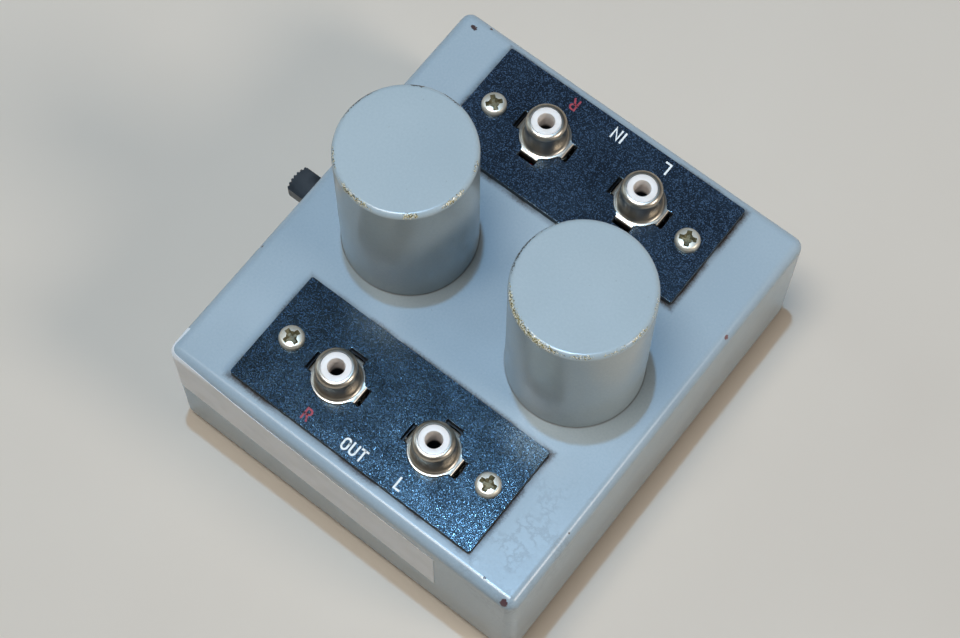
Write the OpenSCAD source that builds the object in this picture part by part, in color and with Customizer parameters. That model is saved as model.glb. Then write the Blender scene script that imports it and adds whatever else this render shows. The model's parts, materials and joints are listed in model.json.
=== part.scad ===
// Moving coil step-up transformer: an enamelled box with two shield cans on top,
// an output board and an input board with a pair of phono jacks each, and a slide switch in its left wall.
// Millimetres, +Z up. The floor is z = 0, and the middle of the box stands over the origin.
// The output board lies towards -Y, and the switch looks out towards -X.

/* [Chassis] */
// Width of the box, left to right
chassis_w = 90; // [84:1:130]
// Depth of the box, output side to input side
chassis_d = 101; // [92:1:140]
// Height of the box from its open rim to its top
chassis_h = 35; // [30:1:60]
// Thickness of the pressed sheet
sheet_t = 1.2; // [0.8:0.1:1.6]
// Outer radius of the pressed edges and corners
edge_r = 2.4; // [1.8:0.1:3.4]

/* [Underside] */
// Thickness of the bottom plate
plate_t = 1.2; // [0.8:0.1:2]
// Room between the bottom plate and the walls
plate_gap = 0.3; // [0.1:0.05:0.6]
// Height of the tapped corner blocks
block_h = 8; // [5:0.5:14]
// Metal of a block past the axis of its screw
block_edge = 4; // [3:0.5:6]
// Diameter of the rubber feet
foot_d = 11; // [9:0.5:15]
// Height of the rubber feet
foot_h = 3; // [2.6:0.1:8]
// Distance of the foot screws from the outside of the walls
foot_inset = 8.5; // [7:0.5:12]

/* [Boards] */
// Length of a jack board
board_w = 62; // [58:0.5:76]
// Width of a jack board
board_d = 26.6; // [22:0.2:30]
// Thickness of a jack board
board_t = 1.6; // [1:0.1:2.4]
// Radius of the boards' corners
board_corner_r = 0.6; // [0.2:0.1:2]
// Distance of the output board's outer edge from the outside of its wall
out_margin = 4; // [2.6:0.1:6]
// Distance of the input board's outer edge from the outside of its wall
in_margin = 2.8; // [2.6:0.1:6]
// Distance of the board screws from the board's middle
board_screw_x = 25.5; // [23:0.5:27]
// Distance of the jacks from the board's middle
jack_x = 12.5; // [11:0.25:14]
// Shift of the jacks towards the board's outer edge
jack_out = 0.95; // [0:0.05:2]

/* [Jacks] */
// Outer diameter of the jack's shell, which the plug's collar grips
shell_d = 8.3; // [7.8:0.05:8.6]
// Height of the shell above the board
shell_h = 7.4; // [6:0.1:10]
// Thickness of the shell's sheet
shell_t = 0.5; // [0.3:0.05:0.6]
// Radius of the shell's rolled top
dome_r = 1.2; // [0.8:0.05:1.6]
// Diameter of the shell's foot flange
flange_d = 10.6; // [9.6:0.1:11.4]
// Width of the three tabs that hold the shell
tab_w = 4.2; // [3:0.1:5]
// Distance from the jack's axis to the outer face of a tab
tab_reach = 6.2; // [5.9:0.1:6.8]
// Length of the part of a tab that is clinched under the board
tab_clinch = 1.8; // [1.2:0.1:2.2]
// Opening left in the board past the outer face of a tab
slot_gap = 0.9; // [0.3:0.1:1.2]
// Diameter of the white collar that shows inside the rolled top
collar_d = 6.2; // [5.8:0.05:6.5]
// Diameter of the collar's mouth
mouth_d = 3.6; // [3.4:0.05:4]
// Diameter of the contact where it grips the plug's pin
grip_d = 3.24; // [3.2:0.02:3.34]
// Length of the gripping stretch of the contact
grip_len = 4.4; // [3:0.1:5]
// Height of the gripping stretch above the board
grip_z = 0.6; // [0.2:0.1:1]
// Wall of the contact at its grip
contact_t = 0.6; // [0.4:0.05:0.7]
// Depth of the contact below the board's top
contact_depth = 8; // [7:0.5:10]
// Length of the contact's solder tail
tail_len = 3; // [2:0.5:4]
// Diameter of the contact's solder tail
tail_d = 1.2; // [0.8:0.1:1.6]
// Reach of the insulator below the sheet of the box
insulator_past = 1; // [0.5:0.1:2]
// Room around the tabs in the holes of the box
tab_room = 0.6; // [0.4:0.1:1]

/* [Shield cans] */
// Outer diameter of a shield can
can_d = 29; // [28.8:0.1:36]
// Height of a shield can
can_h = 40; // [30:1:60]
// Thickness of a can's wall
can_t = 0.8; // [0.5:0.05:0.85]
// Radius of a can's top edge
can_edge_r = 1.2; // [1:0.1:2.5]
// Distance between the axes of the two cans, left to right
can_spacing = 44.6; // [40:0.2:48]
// Shift of both cans to the right of the box's middle
can_shift_x = 0.5; // [-1:0.1:1]
// Shift of both cans towards the input side
can_shift_y = 0.2; // [-1:0.1:1]
// Shift of the left can towards the input side, and of the right one the other way
can_skew = 0.85; // [0:0.05:1]

/* [Transformers] */
// Thickness of the insulating disc that closes a can
disc_t = 1.6; // [1:0.1:2.4]
// Width of an outer leg of the core; the middle leg is twice as wide
core_leg = 3.2; // [2.8:0.1:3.4]
// Thickness of the stack of laminations
core_stack = 10; // [8:0.5:10.5]
// Thickness of the bar that clamps the core
clamp_t = 1.5; // [1:0.1:2.5]
// Width of the bar that clamps the core
clamp_w = 5; // [4:0.5:6]
// Thickness of the felt between the clamp bar and the can's top
pad_t = 4; // [2:0.5:6]
// Wall of the bobbin's tube
bobbin_t = 0.6; // [0.4:0.05:0.7]
// Thickness of the bobbin's end flanges
bobbin_flange_t = 0.8; // [0.5:0.1:1.2]
// Depth of the primary winding
primary_t = 1; // [0.6:0.05:1.05]
// Depth of the secondary winding
secondary_t = 1.2; // [0.6:0.05:1.2]
// Room between a core and the bolts beside it
bolt_gap = 0.5; // [0.3:0.05:0.6]
// Distance of the lead holes from a can's axis
lead_y = 9.6; // [9.4:0.1:9.8]

/* [Switch] */
// Height of the box's top above the middle of the switch
switch_drop = 10; // [8.5:0.5:14]
// Travel of the switch between its two positions
switch_travel = 3; // [2:0.25:4]
// Width of the knob along the wall
knob_w = 6.4; // [5:0.2:8]
// Height of the knob
knob_h = 3.4; // [2.6:0.1:4]
// Reach of the knob's side faces past the wall
knob_out = 6; // [4:0.25:9]
// Bulge of the knob's ribbed end
knob_arch = 0.8; // [0.4:0.1:1.4]
// Number of ribs on the knob's end
knob_ribs = 7; // [5:1:9]
// Diameter of a rib on the knob's end
rib_d = 0.58; // [0.4:0.02:0.7]
// Thickness of the spring clips on the carriage
wiper_t = 0.9; // [0.5:0.1:1]
// Length of the switch's mounting plate
frame_l = 34; // [32:0.5:40]
// Height of the switch's mounting plate
frame_h = 11; // [10.4:0.2:13]
// Thickness of the switch's sheet
frame_t = 0.8; // [0.5:0.1:1]
// Length of the switch's housing
housing_l = 22; // [20:0.5:24]
// Height of the switch's housing
housing_h = 10; // [9.4:0.1:10.2]
// Inner depth of the switch's housing
housing_depth = 5.2; // [5:0.1:7]
// Thickness of the carriage behind the knob
carriage_t = 3; // [2:0.1:3.2]
// Length of the carriage behind the knob
carriage_l = 13; // [11:0.5:14]
// Thickness of the switch's terminal board
base_t = 1.6; // [1:0.1:2]
// Length of the terminals behind their board
terminal_len = 5; // [3:0.5:7]
// Distance between neighbouring terminals along the switch
terminal_pitch = 5; // [4.4:0.2:6]
// Distance between the two rows of terminals
terminal_rows = 4.4; // [3.6:0.2:5]
// Width of a terminal
terminal_w = 1.6; // [1.2:0.1:2]
// Thickness of a terminal
terminal_t = 0.6; // [0.4:0.05:0.8]
// Length of the fixed contact on each terminal's inner end
stop_l = 2.4; // [2.2:0.1:3]

/* [Fasteners and wire] */
// Thread diameter of the board, foot and switch screws
screw_d = 3; // [2.6:0.1:3]
// Diameter of their pan heads
head_d = 5.5; // [5:0.1:6]
// Height of their pan heads
head_h = 1.6; // [1.4:0.1:2]
// Width of a slot of the cross recess
cross_w = 0.9; // [0.7:0.05:1.1]
// Length of a slot of the cross recess
cross_l = 3.3; // [2.6:0.1:3.6]
// Depth of the cross recess
cross_depth = 1.1; // [0.8:0.1:1.2]
// Width across the flats of the nuts on these screws
nut_af = 5.5; // [5:0.1:6]
// Height of these nuts
nut_h = 2.4; // [1.6:0.1:3]
// Thread diameter of the bolts that clamp the cores
bolt_d = 2; // [1.6:0.1:2.2]
// Diameter of the heads of these bolts
bolt_head_d = 3.6; // [3:0.1:3.8]
// Height of the heads of these bolts
bolt_head_h = 1.4; // [1:0.1:1.8]
// Width across the flats of the nuts on these bolts
bolt_nut_af = 4; // [3.4:0.1:4.4]
// Height of these nuts
bolt_nut_h = 1.6; // [1.2:0.1:2]
// Thread that shows past a nut
thread_past = 1; // [0.5:0.1:2]
// Thread left free at the end of a blind hole
thread_short = 1; // [0.5:0.1:2]
// Room around the head of a sunk screw
head_room = 0.5; // [0.3:0.1:1]
// Depth of a sunk screw's head below the surface
head_sink = 0.4; // [0.2:0.1:0.6]
// Outer diameter of the hook-up wire
wire_d = 1; // [0.8:0.05:1.1]
// Room between the two wires in a grommet
wire_gap = 0.3; // [0.2:0.05:0.4]
// Wall of a grommet inside its hole
grommet_t = 0.85; // [0.6:0.05:0.9]
// Width of a grommet's lips past the hole
grommet_lip = 0.9; // [0.6:0.05:0.95]
// Thickness of a grommet's lips
grommet_lip_h = 0.8; // [0.5:0.05:0.95]
// Depth of the ground wires below the box's top
bus_drop = 3.5; // [3:0.1:4.5]
// Depth of the wires to the ground below the ground wires themselves
ground_drop = 1.2; // [1.1:0.1:2]
// Distance from the box's middle to where they join the ground wires
ground_tap_x = 3; // [2:0.5:5]

/* [Fits] */
// Radial clearance of threads, wires and pieces that seat in a hole
seat_gap = 0.05; // [0.03:0.01:0.08]
// Radial clearance of screws and barrels that pass through a hole
pass_gap = 0.1; // [0.08:0.01:0.2]
// Clearance around the switch's slider
slide_gap = 0.3; // [0.2:0.02:0.4]

/* [Hidden] */
$fn = 64;

// Channel R stands at -X and channel L at +X; the output side is -Y and the input side +Y
R = -1;
L = 1;
OUT = -1;
IN = 1;
// A cut runs this far past the face that it opens
cut = 1;

// Heights of the box
top_z = foot_h + chassis_h;
board_z = top_z + board_t;
plate_z = foot_h + plate_t;
under_z = top_z - sheet_t;

// Places on the box
foot_x = chassis_w / 2 - foot_inset;
foot_y = chassis_d / 2 - foot_inset;
wall_x = -chassis_w / 2;
inner_x = wall_x + sheet_t;
switch_z = top_z - switch_drop;

// Middle of a board, axis of a jack and axis of a can
function board_y(side) = side * (chassis_d / 2 - (side == OUT ? out_margin : in_margin) - board_d / 2);
function jack_y(side) = board_y(side) + side * jack_out;
function can_at(channel) = [can_shift_x + channel * can_spacing / 2, can_shift_y - channel * can_skew, 0];

// Corner blocks: square, from the inside of both walls to the metal past the screw
block_w = foot_inset + block_edge - sheet_t;
block_x = chassis_w / 2 - sheet_t - block_w / 2;
block_y = chassis_d / 2 - sheet_t - block_w / 2;

// Screws
screw_r = screw_d / 2;
thread_hole_r = screw_r + seat_gap;
screw_hole_r = screw_r + pass_gap;
foot_recess_d = head_d + 2 * head_room;
foot_recess_h = head_h + head_sink;

// Jacks: a shell on the board, an insulator up through the board, a contact in the insulator
tab_z = -board_t - shell_t;
barrel_in_r = shell_d / 2 - shell_t;
body_r = barrel_in_r - seat_gap;
grip_r = grip_d / 2;
contact_r = grip_r + contact_t;
socket_r = grip_r + contact_t / 2;
insulator_low = -board_t - sheet_t - insulator_past;
jack_hole_r = tab_reach + tab_room;
tail_r = tail_d / 2;
tail_mid_z = board_z - contact_depth - tail_len / 2;

// Transformers
can_r = can_d / 2;
can_in_r = can_r - can_t;
disc_r = can_in_r - seat_gap;
core_w = 6 * core_leg;
core_h = can_h - can_t - pad_t - clamp_t - disc_t;
window_h = core_h - 2 * core_leg;
core_z = top_z + disc_t;
coil_z = core_z + core_leg + pass_gap;
coil_h = window_h - 2 * pass_gap;
bolt_r = bolt_d / 2;
bolt_x = core_w / 2 + bolt_r + bolt_gap;
clamp_z = core_z + core_h;
clamp_end = bolt_x + bolt_head_d / 2;

// The bobbin's hole, tube and windings, as half sizes in X and Y
leg_half = [core_leg + pass_gap, core_stack / 2 + pass_gap];
tube_half = leg_half + [bobbin_t, bobbin_t];
primary_half = tube_half + [primary_t, primary_t];
secondary_half = primary_half + [secondary_t, secondary_t];
flange_half = secondary_half + [pass_gap, pass_gap];

// Lead holes and their grommets
wire_r = wire_d / 2;
bend_swell = 1.06;
wire_bend_r = wire_r * bend_swell;
wire_pair = (wire_d + wire_gap) / 2;
grommet_bore_r = wire_d + wire_gap;
grommet_r = grommet_bore_r + grommet_t;
grommet_lip_r = grommet_r + grommet_lip;

// Switch: plate against the wall, housing behind it, terminal board on the housing's back
knob_slot_l = knob_w + switch_travel + 2 * slide_gap;
knob_slot_h = knob_h + 2 * slide_gap;
plate_back_x = inner_x + frame_t;
carriage_x = plate_back_x + slide_gap;
carriage_h = housing_h - 2 * frame_t - 2 * slide_gap;
base_x = plate_back_x + housing_depth;
stop_t = base_x - slide_gap - wiper_t - carriage_x - carriage_t;
wiper_l = terminal_pitch + stop_l;
knob_y = -switch_travel / 2;
switch_screw_y = (frame_l + housing_l) / 4;

// Heights of the wiring below the box's top
bus_z = top_z - bus_drop;
ground_wire_z = bus_z - ground_drop;
switch_wire_z = switch_z - terminal_rows / 2;

// A box with round upright corners and a round top edge, open side down
module rounded_case(w, d, h, r) {
    for (x = [-1, 1], y = [-1, 1])
        translate([x * (w / 2 - r), y * (d / 2 - r), 0]) {
            cylinder(h = h - r, r = r);
            translate([0, 0, h - r]) sphere(r = r);
        }
    for (y = [-1, 1])
        translate([-(w / 2 - r), y * (d / 2 - r), h - r])
            rotate([0, 90, 0])
                cylinder(h = w - 2 * r, r = r);
    for (x = [-1, 1])
        translate([x * (w / 2 - r), -(d / 2 - r), h - r])
            rotate([-90, 0, 0])
                cylinder(h = d - 2 * r, r = r);
    translate([-(w / 2 - r), -d / 2, 0]) cube([w - 2 * r, d, h - r]);
    translate([-w / 2, -(d / 2 - r), 0]) cube([w, d - 2 * r, h - r]);
    translate([-(w / 2 - r), -(d / 2 - r), 0]) cube([w - 2 * r, d - 2 * r, h]);
}

// A plate with round upright corners
module rounded_plate(w, d, h, r) {
    for (x = [-1, 1], y = [-1, 1])
        translate([x * (w / 2 - r), y * (d / 2 - r), 0])
            cylinder(h = h, r = r);
    translate([-(w / 2 - r), -d / 2, 0]) cube([w - 2 * r, d, h]);
    translate([-w / 2, -(d / 2 - r), 0]) cube([w, d - 2 * r, h]);
}

// A closed cup, mouth down, with a round top edge
module round_cup(r, h, edge) {
    cylinder(h = h - edge, r = r);
    cylinder(h = h, r = r - edge);
    translate([0, 0, h - edge])
        rotate_extrude()
            translate([r - edge, 0])
                circle(r = edge);
}

// A block of given half sizes in X and Y, standing on z = 0
module post(half, h) {
    translate([-half[0], -half[1], 0])
        cube([2 * half[0], 2 * half[1], h]);
}

// A hole down through z = 0 to the depth h, open at both ends
module hole(r, h) {
    translate([0, 0, -h - cut])
        cylinder(h = h + 2 * cut, r = r);
}

// A pan-head screw with a cross recess: its head stands on z = 0 and its thread runs down
module pan_screw(len) {
    difference() {
        intersection() {
            cylinder(h = head_h, d = head_d);
            translate([0, 0, head_h - head_d]) sphere(r = head_d);
        }
        for (a = [0, 90])
            rotate([0, 0, a])
                translate([-cross_l / 2, -cross_w / 2, head_h - cross_depth])
                    cube([cross_l, cross_w, head_h]);
    }
    translate([0, 0, -len])
        cylinder(h = len, r = screw_r);
}

// A hexagon nut below z = 0
module hex_nut(af, h, bore_r) {
    translate([0, 0, -h])
        difference() {
            cylinder(h = h, d = af / cos(30), $fn = 6);
            translate([0, 0, -cut]) cylinder(h = h + 2 * cut, r = bore_r);
        }
}

// A round wire along a list of points, a little thicker where it is bent
module wire(points) {
    for (i = [0 : len(points) - 2]) {
        step = points[i + 1] - points[i];
        run = norm(step);
        translate(points[i])
            rotate([0, acos(step[2] / run), atan2(step[1], step[0])])
                cylinder(h = run, r = wire_r);
    }
    for (i = [1 : len(points) - 2])
        translate(points[i])
            sphere(r = wire_bend_r);
}

// The four corners where the feet and their screws sit
module at_feet(z) {
    for (x = [-1, 1], y = [-1, 1])
        translate([x * foot_x, y * foot_y, z])
            children();
}

// The four screws that hold the boards
module at_board_screws(z) {
    for (x = [-1, 1], y = [OUT, IN])
        translate([x * board_screw_x, board_y(y), z])
            children();
}

// The four bolts that clamp the cores
module at_clamp_bolts(z) {
    for (x = [R, L], side = [-1, 1])
        translate(can_at(x) + [side * bolt_x, 0, z])
            children();
}

// The four lead holes, one on each side of each core
module at_lead_holes(z) {
    for (x = [R, L], y = [OUT, IN])
        translate(can_at(x) + [0, y * lead_y, z])
            children();
}

// One jack's axis at the top of its board, turned so that +Y points to the cans
module at_jack(side, channel) {
    translate([channel * jack_x, jack_y(side), board_z])
        rotate([0, 0, side == OUT ? 0 : 180])
            children();
}

// The two screws of the switch, with z along the screw and the wall's outside at z = 0
module at_switch_screws() {
    for (y = [-1, 1])
        translate([wall_x, y * switch_screw_y, switch_z])
            rotate([0, -90, 0])
                children();
}

module chassis() {
    color([0.62, 0.69, 0.74])
        difference() {
            translate([0, 0, foot_h])
                rounded_case(chassis_w, chassis_d, chassis_h, edge_r);
            translate([0, 0, foot_h - cut])
                rounded_case(chassis_w - 2 * sheet_t, chassis_d - 2 * sheet_t,
                    chassis_h - sheet_t + cut, edge_r - sheet_t);
            at_board_screws(top_z) hole(screw_hole_r, sheet_t);
            for (side = [OUT, IN], channel = [R, L])
                at_jack(side, channel)
                    hole(jack_hole_r, board_t + sheet_t);
            at_clamp_bolts(top_z) hole(bolt_r + pass_gap, sheet_t);
            at_lead_holes(top_z) hole(grommet_r + seat_gap, sheet_t);
            at_switch_screws() hole(screw_hole_r, sheet_t);
            translate([wall_x - cut, -knob_slot_l / 2, switch_z - knob_slot_h / 2])
                cube([sheet_t + 2 * cut, knob_slot_l, knob_slot_h]);
        }
}

// Tapped blocks welded into the corners, which the foot screws hold the bottom plate to
module corner_blocks() {
    color([0.55, 0.56, 0.57])
        difference() {
            for (x = [-1, 1], y = [-1, 1])
                translate([x * block_x, y * block_y, plate_z])
                    rounded_plate(block_w, block_w, block_h, edge_r);
            at_feet(plate_z + block_h) hole(thread_hole_r, block_h);
        }
}

module bottom_plate() {
    margin = sheet_t + plate_gap;
    color([0.55, 0.56, 0.57])
        difference() {
            translate([0, 0, foot_h])
                rounded_plate(chassis_w - 2 * margin, chassis_d - 2 * margin, plate_t, edge_r - sheet_t);
            at_feet(plate_z) hole(screw_hole_r, plate_t);
        }
}

module rubber_feet() {
    color([0.08, 0.08, 0.08])
        at_feet(0)
            difference() {
                cylinder(h = foot_h, d = foot_d);
                translate([0, 0, foot_h]) hole(screw_hole_r, foot_h);
                translate([0, 0, foot_recess_h]) hole(foot_recess_d / 2, foot_recess_h - cut);
            }
}

module foot_screws() {
    color([0.7, 0.7, 0.68])
        at_feet(foot_recess_h)
            mirror([0, 0, 1])
                pan_screw(plate_z - foot_recess_h + block_h - thread_short);
}

// A jack board with its barrel holes, tab slots and screw holes
module jack_board(side) {
    slot_in = tab_reach - 2 * shell_t - pass_gap;
    slot_l = tab_reach + slot_gap - slot_in;
    slot_w = tab_w + 2 * pass_gap;
    color([0.10, 0.15, 0.22])
        difference() {
            translate([0, board_y(side), top_z])
                rounded_plate(board_w, board_d, board_t, board_corner_r);
            at_board_screws(board_z) hole(screw_hole_r, board_t);
            for (channel = [R, L])
                at_jack(side, channel) {
                    hole(body_r + pass_gap, board_t);
                    for (a = [0, 90, 180])
                        rotate([0, 0, a])
                            translate([slot_in, -slot_w / 2, -board_t - cut])
                                cube([slot_l, slot_w, board_t + 2 * cut]);
                }
        }
}

module board_screws() {
    color([0.78, 0.77, 0.73])
        at_board_screws(board_z)
            pan_screw(board_t + sheet_t + nut_h + thread_past);
}

module board_nuts() {
    color([0.7, 0.7, 0.68])
        at_board_screws(under_z)
            hex_nut(nut_af, nut_h, thread_hole_r);
}

// The nickel shell: foot flange, barrel with a rolled top, and three tabs clinched under the board
module jack_shell(side, channel) {
    color([0.78, 0.77, 0.73])
        at_jack(side, channel) {
            difference() {
                union() {
                    cylinder(h = shell_t, d = flange_d);
                    round_cup(shell_d / 2, shell_h, dome_r);
                }
                translate([0, 0, -cut]) cylinder(h = shell_h - dome_r + cut, r = barrel_in_r);
                cylinder(h = shell_h + cut, r = collar_d / 2 + seat_gap);
            }
            for (a = [0, 90, 180])
                rotate([0, 0, a])
                    jack_tab();
        }
}

// One tab, running out along +X from the flange and down through the board
module jack_tab() {
    bend_x = tab_reach - shell_t;
    translate([barrel_in_r + shell_t, -tab_w / 2, 0])
        cube([bend_x - barrel_in_r - shell_t, tab_w, shell_t]);
    translate([bend_x, tab_w / 2, 0])
        rotate([90, 0, 0])
            cylinder(h = tab_w, r = shell_t);
    translate([bend_x, -tab_w / 2, tab_z])
        cube([shell_t, tab_w, -tab_z]);
    translate([tab_reach - tab_clinch, -tab_w / 2, tab_z])
        cube([tab_clinch, tab_w, shell_t]);
}

module jack_insulator(side, channel) {
    color([0.93, 0.92, 0.90])
        at_jack(side, channel)
            difference() {
                union() {
                    translate([0, 0, insulator_low])
                        cylinder(h = shell_h - dome_r - seat_gap - insulator_low, r = body_r);
                    cylinder(h = shell_h, d = collar_d);
                }
                translate([0, 0, shell_h]) hole(mouth_d / 2, shell_h - grip_z);
                translate([0, 0, grip_z + grip_len])
                    hole(contact_r + seat_gap, grip_z + grip_len - insulator_low - cut);
            }
}

// The contact: a sleeve that grips the plug's pin, a wider tube below it and a solder tail
module jack_contact(side, channel) {
    color([0.78, 0.66, 0.38])
        at_jack(side, channel)
            difference() {
                union() {
                    translate([0, 0, -contact_depth])
                        cylinder(h = contact_depth + grip_z + grip_len, r = contact_r);
                    translate([0, 0, -contact_depth - tail_len])
                        cylinder(h = tail_len + cut, r = tail_r);
                }
                translate([0, 0, grip_z]) cylinder(h = grip_len + cut, r = grip_r);
                translate([0, 0, cut - contact_depth])
                    cylinder(h = contact_depth - cut + grip_z, r = socket_r);
            }
}

module shield_can(channel) {
    color([0.60, 0.67, 0.71])
        translate(can_at(channel) + [0, 0, top_z])
            difference() {
                round_cup(can_r, can_h, can_edge_r);
                translate([0, 0, -cut])
                    round_cup(can_in_r, can_h - can_t + cut, can_edge_r - can_t);
            }
}

module base_disc(channel) {
    color([0.45, 0.30, 0.18])
        difference() {
            translate(can_at(channel) + [0, 0, top_z]) cylinder(h = disc_t, r = disc_r);
            at_clamp_bolts(core_z) hole(bolt_r + pass_gap, disc_t);
            at_lead_holes(core_z) hole(grommet_lip_r + pass_gap, disc_t);
        }
}

// The laminations: one block with a window on each side of the middle leg
module core(channel) {
    color([0.42, 0.43, 0.45])
        translate(can_at(channel) + [0, 0, core_z])
            difference() {
                post([core_w / 2, core_stack / 2], core_h);
                for (x = [-1, 1])
                    translate([x * 1.5 * core_leg, 0, core_leg])
                        post([core_leg / 2, core_stack / 2 + cut], window_h);
            }
}

module bobbin(channel) {
    color([0.85, 0.82, 0.70])
        translate(can_at(channel) + [0, 0, coil_z])
            difference() {
                union() {
                    post(tube_half, coil_h);
                    post(flange_half, bobbin_flange_t);
                    translate([0, 0, coil_h - bobbin_flange_t]) post(flange_half, bobbin_flange_t);
                }
                translate([0, 0, -cut]) post(leg_half, coil_h + 2 * cut);
            }
}

// One winding, as the closed ring of copper between two half sizes
module winding(channel, inner_half, outer_half) {
    turns_h = coil_h - 2 * bobbin_flange_t;
    color([0.72, 0.40, 0.20])
        translate(can_at(channel) + [0, 0, coil_z + bobbin_flange_t])
            difference() {
                post(outer_half, turns_h);
                translate([0, 0, -cut]) post(inner_half, turns_h + 2 * cut);
            }
}

module primary(channel) {
    winding(channel, tube_half, primary_half);
}

module secondary(channel) {
    winding(channel, primary_half, secondary_half);
}

module clamp_bar(channel) {
    color([0.62, 0.62, 0.60])
        difference() {
            translate(can_at(channel) + [0, 0, clamp_z]) post([clamp_end, clamp_w / 2], clamp_t);
            at_clamp_bolts(clamp_z + clamp_t) hole(bolt_r + pass_gap, clamp_t);
        }
}

module clamp_bolts(channel) {
    bolt_low = under_z - bolt_nut_h - thread_past;
    color([0.62, 0.62, 0.60])
        for (side = [-1, 1])
            translate(can_at(channel) + [side * bolt_x, 0, 0]) {
                translate([0, 0, clamp_z + clamp_t]) cylinder(h = bolt_head_h, d = bolt_head_d);
                translate([0, 0, bolt_low]) cylinder(h = clamp_z + clamp_t - bolt_low, r = bolt_r);
            }
}

module felt_pad(channel) {
    pad_r = can_r - can_edge_r;
    color([0.45, 0.43, 0.38])
        difference() {
            translate(can_at(channel) + [0, 0, clamp_z + clamp_t]) cylinder(h = pad_t, r = pad_r);
            at_clamp_bolts(clamp_z + clamp_t)
                translate([0, 0, -cut])
                    cylinder(h = bolt_head_h + pass_gap + cut, d = bolt_head_d + 2 * pass_gap);
        }
}

// Two leads on each side of a coil: one to a jack's contact, the other to the ground wire or to the switch
module leads(channel) {
    at = can_at(channel);
    start_z = coil_z + bobbin_flange_t + 2 * wire_d;
    coil_y = secondary_half[1] + seat_gap;
    x_tail = at[0] + channel * wire_pair;
    x_other = at[0] - channel * wire_pair;
    switch_x = base_x + base_t + terminal_len + wire_r;
    ground_y = jack_y(OUT) + wire_d + seat_gap;
    color([0.75, 0.12, 0.10]) {
        for (side = [OUT, IN]) {
            y = at[1] + side * lead_y;
            tail_y = jack_y(side) - side * (tail_r + wire_r + seat_gap);
            wire([[x_tail, at[1] + side * coil_y, start_z], [x_tail, y, start_z],
                [x_tail, y, tail_mid_z], [channel * jack_x, tail_y, tail_mid_z]]);
        }
        wire([[x_other, at[1] - coil_y, start_z], [x_other, at[1] - lead_y, start_z],
            [x_other, at[1] - lead_y, ground_wire_z], [channel * ground_tap_x, ground_y, ground_wire_z],
            [channel * ground_tap_x, ground_y, bus_z]]);
        wire([[x_other, at[1] + coil_y, start_z], [x_other, at[1] + lead_y, start_z],
            [x_other, at[1] + lead_y, switch_wire_z],
            [switch_x, -channel * terminal_pitch, switch_wire_z]]);
    }
}

module clamp_nuts() {
    color([0.7, 0.7, 0.68])
        at_clamp_bolts(under_z)
            hex_nut(bolt_nut_af, bolt_nut_h, bolt_r + seat_gap);
}

// Rubber grommets in the lead holes, with a lip above and below the sheet
module lead_grommets() {
    color([0.10, 0.10, 0.10])
        at_lead_holes(under_z)
            difference() {
                union() {
                    cylinder(h = sheet_t, r = grommet_r);
                    translate([0, 0, -grommet_lip_h]) cylinder(h = grommet_lip_h, r = grommet_lip_r);
                    translate([0, 0, sheet_t]) cylinder(h = grommet_lip_h, r = grommet_lip_r);
                }
                translate([0, 0, -grommet_lip_h - cut])
                    cylinder(h = sheet_t + 2 * grommet_lip_h + 2 * cut, r = grommet_bore_r);
            }
}

// A bare wire under each board that joins the clinched tabs of its two shells
module ground_bus() {
    tie_x = jack_x - tab_reach + tab_clinch / 2;
    tie_z = board_z + tab_z - seat_gap;
    color([0.75, 0.72, 0.66])
        for (side = [OUT, IN])
            wire([[-tie_x, jack_y(side), tie_z], [-tie_x, jack_y(side), bus_z],
                [tie_x, jack_y(side), bus_z], [tie_x, jack_y(side), tie_z]]);
}

// The switch's mounting plate and housing, pressed from one sheet
module switch_frame() {
    color([0.62, 0.62, 0.60])
        difference() {
            union() {
                translate([inner_x, -frame_l / 2, switch_z - frame_h / 2])
                    cube([frame_t, frame_l, frame_h]);
                translate([inner_x, -housing_l / 2, switch_z - housing_h / 2])
                    cube([frame_t + housing_depth, housing_l, housing_h]);
            }
            translate([plate_back_x, -housing_l / 2 + frame_t, switch_z - housing_h / 2 + frame_t])
                cube([housing_depth + cut, housing_l - 2 * frame_t, housing_h - 2 * frame_t]);
            translate([inner_x - cut, -knob_slot_l / 2, switch_z - knob_slot_h / 2])
                cube([frame_t + 2 * cut, knob_slot_l, knob_slot_h]);
            at_switch_screws() hole(thread_hole_r, sheet_t + frame_t);
        }
}

// The slider: the ribbed knob outside, its neck through the wall and the carriage in the housing
module switch_slider() {
    arch_r = (pow(knob_w / 2, 2) + pow(knob_arch, 2)) / (2 * knob_arch);
    arch_x = wall_x - knob_out - knob_arch + arch_r;
    arch_half = asin(knob_w / 2 / arch_r);
    color([0.07, 0.07, 0.08]) {
        translate([0, knob_y, switch_z - knob_h / 2])
            linear_extrude(height = knob_h) {
                translate([wall_x - knob_out, -knob_w / 2])
                    square([carriage_x - wall_x + knob_out, knob_w]);
                intersection() {
                    translate([arch_x, 0]) circle(r = arch_r);
                    translate([wall_x - knob_out - knob_arch, -knob_w / 2]) square([2 * knob_arch, knob_w]);
                }
                for (i = [0 : knob_ribs - 1]) {
                    a = 180 - arch_half + 2 * arch_half * (i + 0.5) / knob_ribs;
                    translate([arch_x + arch_r * cos(a), arch_r * sin(a)])
                        circle(d = rib_d);
                }
            }
        translate([carriage_x, knob_y - carriage_l / 2, switch_z - carriage_h / 2])
            cube([carriage_t, carriage_l, carriage_h]);
    }
}

// The two spring clips on the back of the carriage
module switch_wipers() {
    color([0.80, 0.62, 0.35])
        for (row = [-1, 1])
            translate([carriage_x + carriage_t, knob_y - wiper_l / 2,
                switch_z + row * terminal_rows / 2 - terminal_w / 2])
                cube([wiper_t, wiper_l, terminal_w]);
}

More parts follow.
